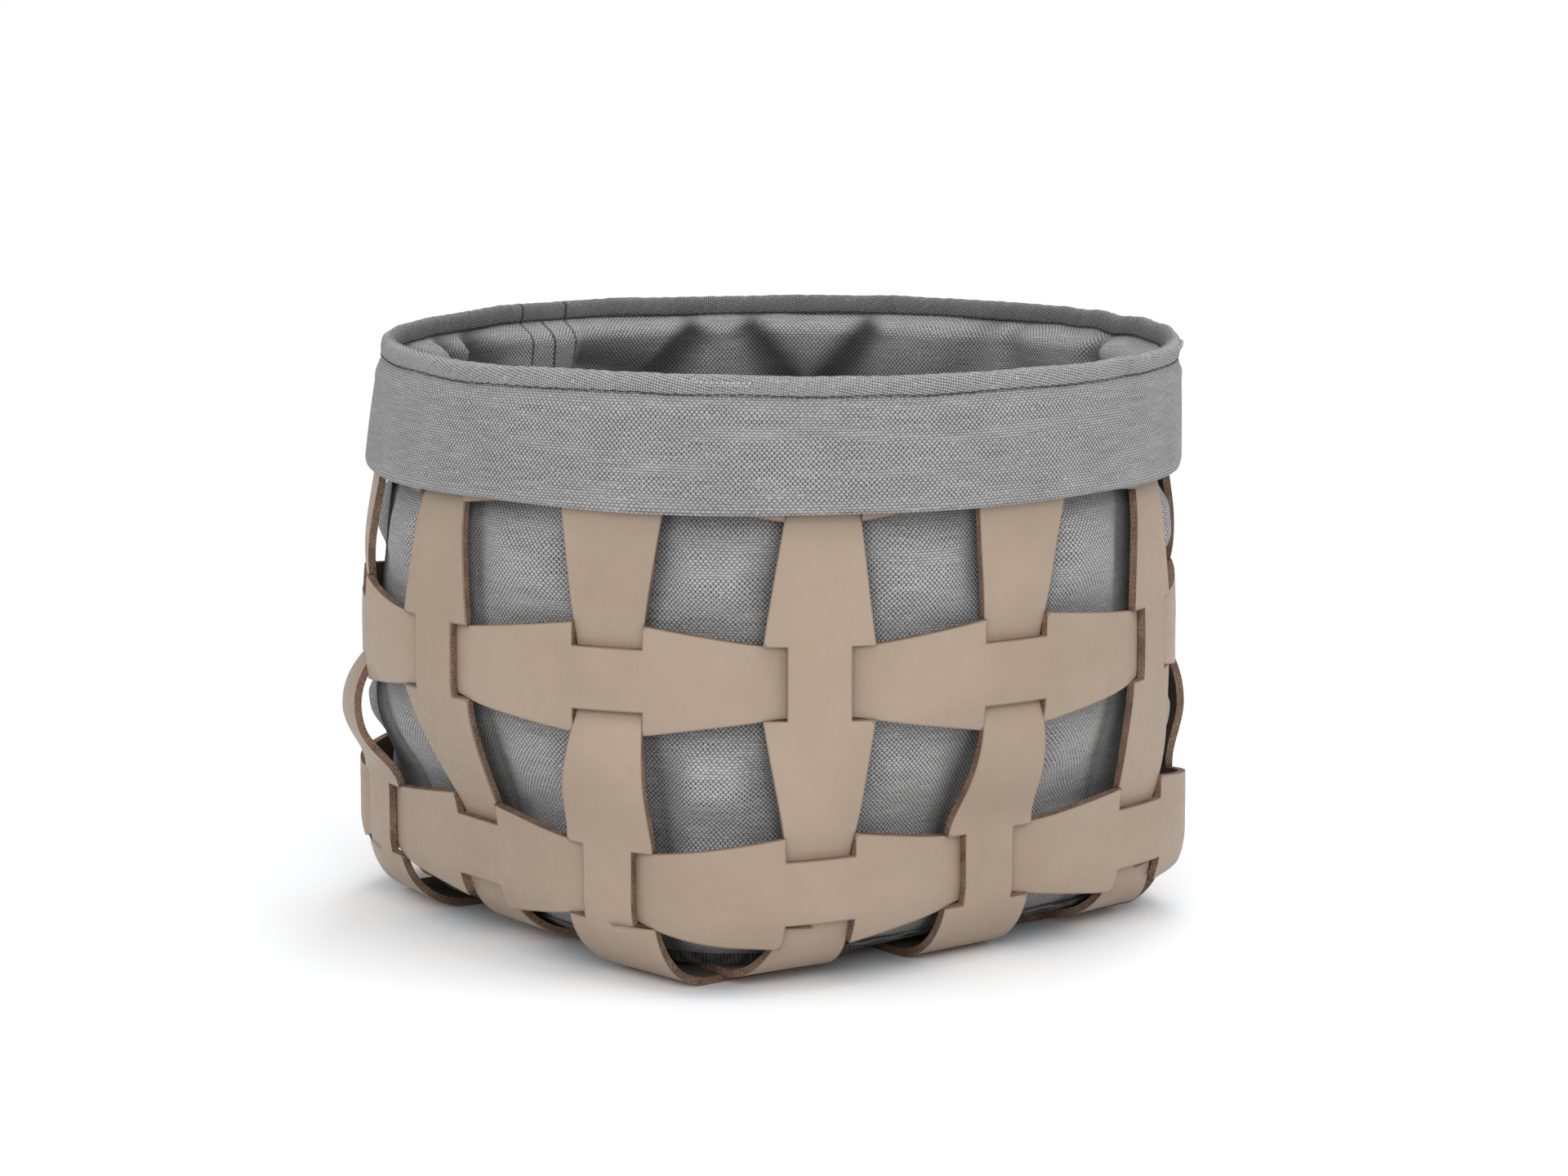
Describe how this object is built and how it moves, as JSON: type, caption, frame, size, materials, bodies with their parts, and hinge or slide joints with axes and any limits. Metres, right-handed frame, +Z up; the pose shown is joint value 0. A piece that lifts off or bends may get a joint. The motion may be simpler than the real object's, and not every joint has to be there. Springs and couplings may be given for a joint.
{
  "type": "woven leather storage basket",
  "caption": "Round storage basket woven from broad notched leather straps, with a grey cloth liner that folds out over the rim as a cuff and lifts out.",
  "frame": {"origin": "centre of the base, on the surface it stands on", "axes": "+Z up along the basket's axis; X and Y run along the two sets of straps under the base"},
  "size_m": [0.3324, 0.3324, 0.234],
  "materials": {
    "leather": "smooth natural taupe leather, satin",
    "cloth": "coarse grey basket-weave canvas"
  },
  "bodies": {
    "shell": {"strap_x_near": "leather", "strap_x_middle": "leather", "strap_x_far": "leather", "strap_y_left": "leather", "strap_y_middle": "leather", "strap_y_right": "leather", "band_low": "leather", "band_middle": "leather", "band_top": "leather"},
    "liner": {"liner_wall": "cloth", "liner_base": "cloth", "cuff": "cloth", "rim_hem": "cloth"}
  },
  "joints": [
    {"name": "liner_lift", "type": "slide", "parent": "shell", "child": "liner", "axis": [0, 0, 1], "range_m": [0, 0.24]}
  ]
}
